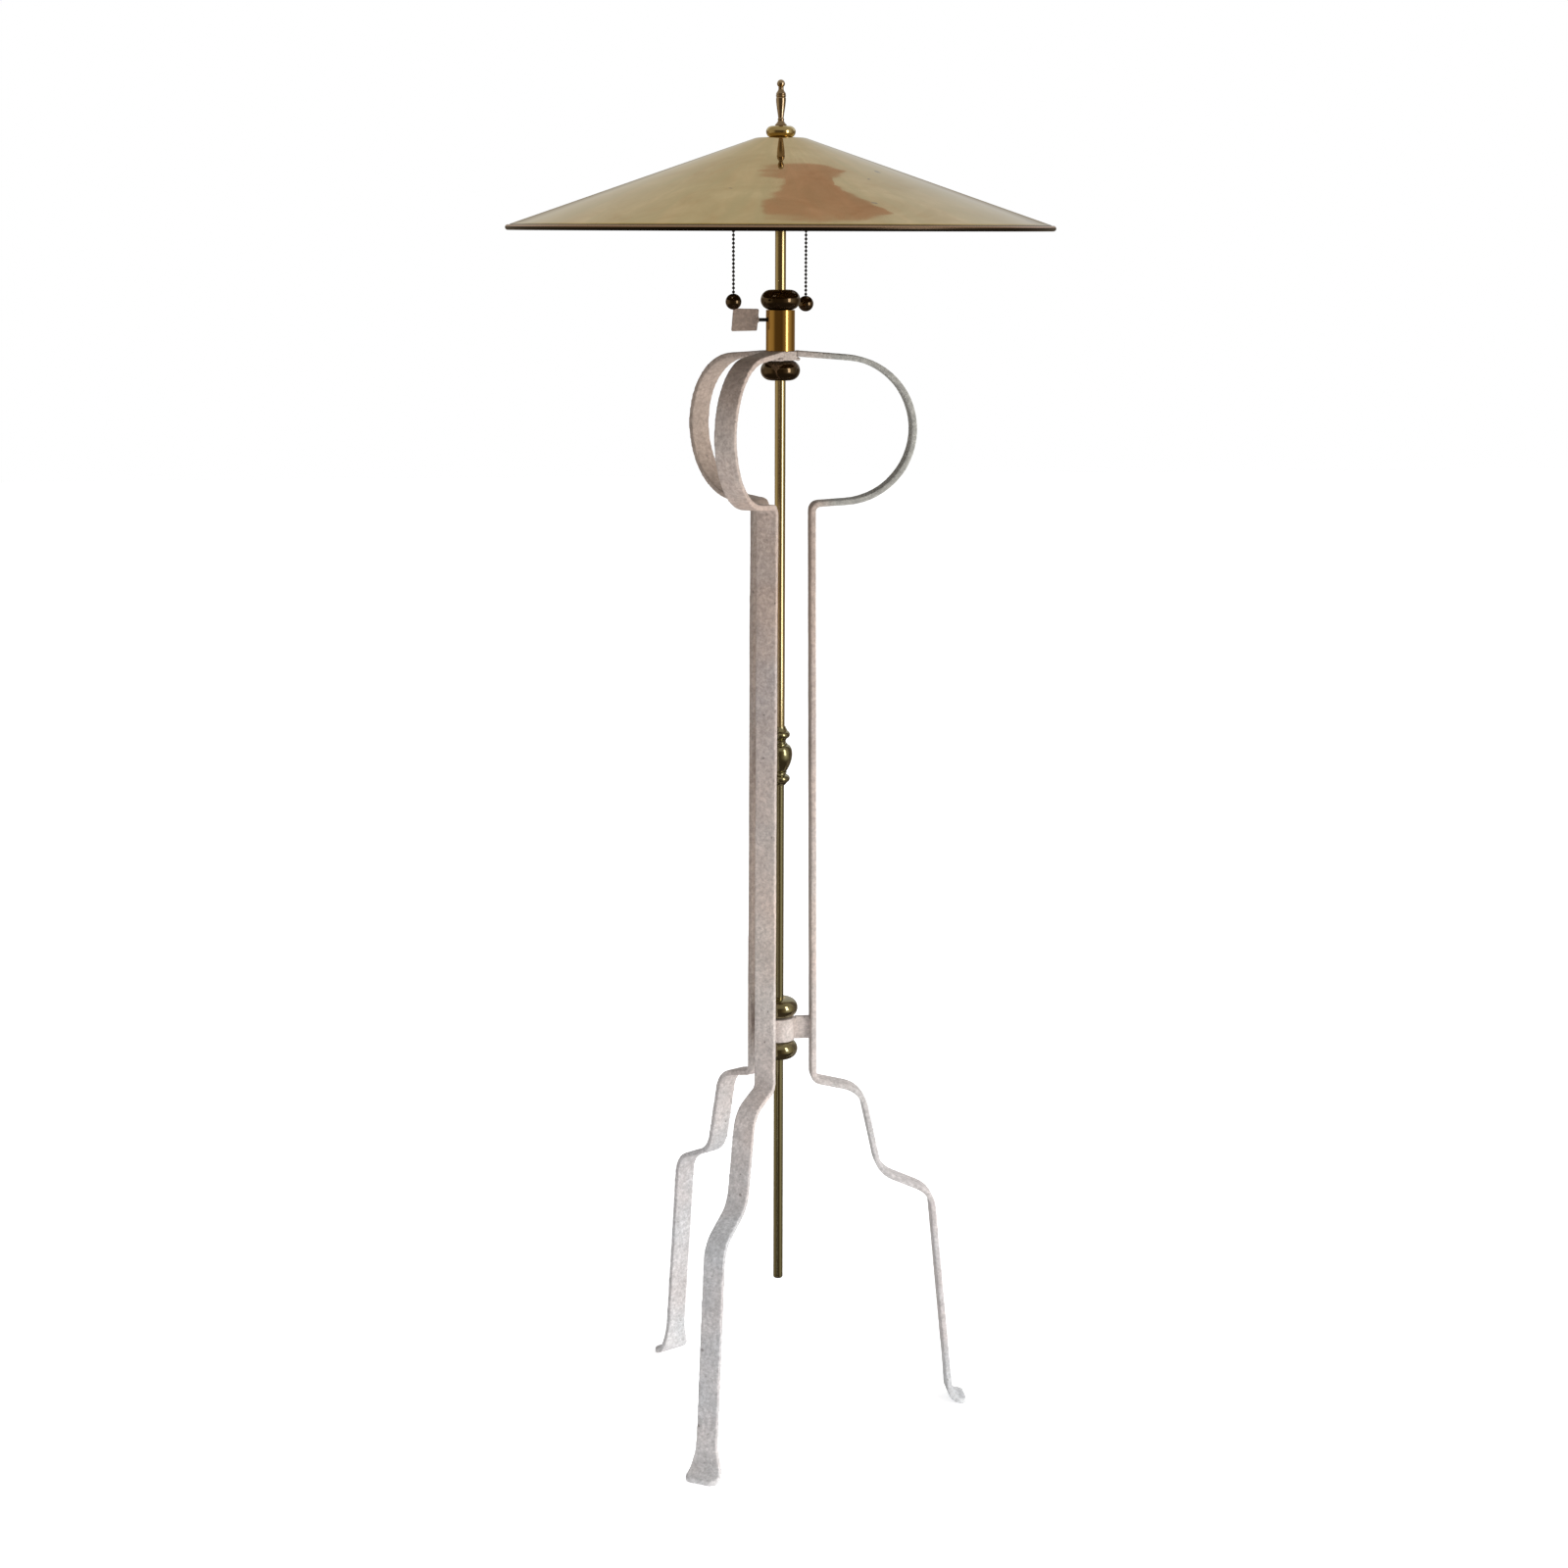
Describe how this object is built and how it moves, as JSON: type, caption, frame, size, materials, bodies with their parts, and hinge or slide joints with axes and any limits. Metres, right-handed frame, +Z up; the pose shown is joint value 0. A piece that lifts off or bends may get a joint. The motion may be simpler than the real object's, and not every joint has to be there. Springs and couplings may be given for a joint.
{
  "type": "tripod floor lamp",
  "caption": "Tripod floor lamp: bent flat-bar legs with D-shaped loops, a clamped sliding mast, pull-chain sockets under a wide brass cone shade, and a turned finial.",
  "frame": {"origin": "on the floor, under the mast's axis", "axes": "+Z up along the mast, +X out along leg A"},
  "size_m": [0.5826, 0.5826, 1.4907],
  "materials": {
    "textured_paint": "off-white pebbled paint",
    "shade_brass": "lacquered, softly brushed",
    "bright_brass": "polished",
    "amber_brass": "polished",
    "dark_brass": "dark polished patina",
    "aged_brass": "tarnished",
    "finial_brass": "polished with darker hollows",
    "plain_brass": "plain",
    "black_steel": "blackened",
    "phenolic": "moulded",
    "aluminium": "bright",
    "frosted_glass": "frosted"
  },
  "bodies": {
    "frame": {"leg_a": "textured_paint", "leg_b": "textured_paint", "leg_c": "textured_paint", "brace_a": "textured_paint", "brace_b": "textured_paint", "brace_c": "textured_paint", "hub_plate": "textured_paint", "clamp_sleeve": "amber_brass", "upper_guide_tube": "plain_brass", "upper_bead": "dark_brass", "under_hub_bead": "dark_brass", "brace_collar": "textured_paint", "lower_guide_tube": "plain_brass", "over_collar_bead": "dark_brass", "lower_bead": "dark_brass"},
    "clamp_pad": {"clamp_pad": "plain_brass"},
    "thumbscrew": {"clamp_screw": "black_steel", "clamp_paddle": "textured_paint"},
    "mast": {"mast_lower_tube": "aged_brass", "mast_coupling": "aged_brass", "coupling_nipple": "plain_brass", "cord_bushing": "aged_brass"},
    "head": {"mast_upper_tube": "bright_brass", "cluster_body": "plain_brass", "cluster_nipples": "plain_brass", "riser_stud": "plain_brass", "riser_nut": "plain_brass", "seat_washer": "plain_brass", "seat_nut": "plain_brass", "socket_cap_left": "plain_brass", "socket_shell_left": "plain_brass", "socket_insulator_left": "phenolic", "screw_shell_left": "aluminium", "contact_left": "plain_brass", "chain_guide_left": "plain_brass", "bulb_cap_left": "aluminium", "bulb_glass_left": "frosted_glass", "socket_cap_right": "plain_brass", "socket_shell_right": "plain_brass", "socket_insulator_right": "phenolic", "screw_shell_right": "aluminium", "contact_right": "plain_brass", "chain_guide_right": "plain_brass", "bulb_cap_right": "aluminium", "bulb_glass_right": "frosted_glass"},
    "shade": {"shade": "shade_brass"},
    "finial_base": {"finial_base": "finial_brass"},
    "finial": {"finial": "finial_brass"},
    "plunger_left": {"switch_plunger_left": "plain_brass"},
    "chain_left": {"pull_chain_left": "black_steel", "pull_ball_left": "dark_brass"},
    "plunger_right": {"switch_plunger_right": "plain_brass"},
    "chain_right": {"pull_chain_right": "black_steel", "pull_ball_right": "dark_brass"}
  },
  "joints": [
    {"name": "clamp_travel", "type": "slide", "parent": "frame", "child": "clamp_pad", "axis": [-1, 0, 0], "range_m": [0, 0.0016]},
    {"name": "clamp_turn", "type": "hinge", "parent": "clamp_pad", "child": "thumbscrew", "pos_m": [-0.03, 0, 1.2417], "axis": [-1, 0, 0], "range_deg": [0, 720]},
    {"name": "mast_height", "type": "slide", "parent": "frame", "child": "mast", "axis": [0, 0, 1], "range_m": [-0.025, 0.25]},
    {"name": "mast_swivel", "type": "hinge", "parent": "mast", "child": "head", "pos_m": [0, 0, 0.786], "axis": [0, 0, 1], "range_deg": [-180, 180]},
    {"name": "shade_turn", "type": "hinge", "parent": "head", "child": "shade", "pos_m": [0, 0, 1.4304], "axis": [0, 0, 1], "continuous": true},
    {"name": "finial_rise", "type": "slide", "parent": "head", "child": "finial_base", "axis": [0, 0, 1], "range_m": [0, 0.00376]},
    {"name": "finial_turn", "type": "hinge", "parent": "finial_base", "child": "finial", "pos_m": [0, 0, 1.4436], "axis": [0, 0, 1], "range_deg": [0, 1440]},
    {"name": "pull_left", "type": "slide", "parent": "head", "child": "plunger_left", "axis": [0, 0, -1], "range_m": [0, 0.008], "stiffness_N_per_m": 400, "springref_m": -0.004},
    {"name": "swing_left", "type": "hinge", "parent": "plunger_left", "child": "chain_left", "pos_m": [-0.05354, -0.02856, 1.3388], "axis": [-0.8823, -0.4707, 0], "range_deg": [-20, 20]},
    {"name": "pull_right", "type": "slide", "parent": "head", "child": "plunger_right", "axis": [0, 0, -1], "range_m": [0, 0.008], "stiffness_N_per_m": 400, "springref_m": -0.004},
    {"name": "swing_right", "type": "hinge", "parent": "plunger_right", "child": "chain_right", "pos_m": [0.034, 0.05026, 1.3388], "axis": [0.5603, 0.8283, 0], "range_deg": [-20, 20]}
  ],
  "couplings": [
    {"joint": "clamp_turn", "follows": "clamp_travel", "rad_per_m": 7854},
    {"joint": "finial_turn", "follows": "finial_rise", "rad_per_m": 6684.2}
  ]
}
